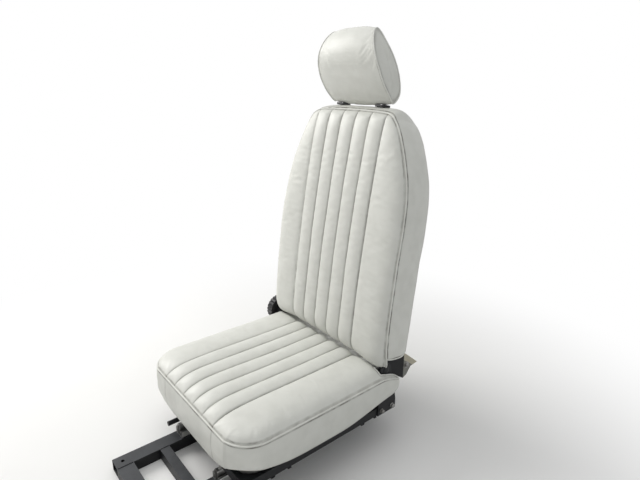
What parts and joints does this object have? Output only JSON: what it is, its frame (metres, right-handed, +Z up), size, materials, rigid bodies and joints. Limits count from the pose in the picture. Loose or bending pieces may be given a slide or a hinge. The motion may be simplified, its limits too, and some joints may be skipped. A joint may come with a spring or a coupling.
{
  "type": "driver's seat",
  "caption": "High-back vinyl driver's seat with fluted cushion and backrest, headrest, recliner and slides on a black steel floor frame.",
  "frame": {"origin": "centre of the floor frame's four bolt holes, at the underside of its rails", "axes": "+Z up, occupant faces -Y, +X to the occupant's left"},
  "size_m": [0.51, 0.7526, 1.0644],
  "materials": {
    "frame_black": "satin black paint, worn grey on top faces",
    "slide_steel": "zinc-plated pressed steel, greased and dull",
    "plastic_black": "fine moulded grain",
    "post_steel": "bright plate",
    "vinyl_ivory": "ivory grained vinyl, slight dirt in the flutes"
  },
  "bodies": {
    "base": {"frame_rail_left": "frame_black", "frame_rail_right": "frame_black", "frame_crossbar_front": "frame_black", "frame_crossbar_step": "frame_black", "frame_crossbar_under": "frame_black", "frame_crossbar_rear": "frame_black", "slide_lower_left": "slide_steel", "slide_lower_right": "slide_steel"},
    "carriage": {"slide_upper_left": "slide_steel", "slide_upper_right": "slide_steel", "carriage_channel_front": "frame_black", "carriage_channel_rear": "frame_black", "release_rod": "slide_steel", "release_grip": "plastic_black", "cushion_pan": "frame_black", "cushion": "vinyl_ivory", "recliner_base_plate_left": "frame_black", "recliner_base_plate_right": "frame_black", "recliner_gear": "frame_black", "recliner_wheel": "plastic_black"},
    "backrest_frame": {"recliner_arm_left": "frame_black", "recliner_arm_right": "frame_black", "backrest": "vinyl_ivory", "headrest_guide_left": "plastic_black", "headrest_guide_right": "plastic_black"},
    "headrest_frame": {"headrest_post_left": "post_steel", "headrest_post_right": "post_steel", "headrest": "vinyl_ivory"}
  },
  "joints": [
    {"name": "seat_slide", "type": "slide", "parent": "base", "child": "carriage", "axis": [0, -1, 0], "range_m": [-0.08, 0.08]},
    {"name": "backrest_recline", "type": "hinge", "parent": "carriage", "child": "backrest_frame", "pos_m": [0, 0.267, 0.217], "axis": [-1, 0, 0], "range_deg": [-8, 45]},
    {"name": "headrest_height", "type": "slide", "parent": "backrest_frame", "child": "headrest_frame", "axis": [0, 0.1556, 0.9878], "range_m": [0, 0.06]}
  ]
}
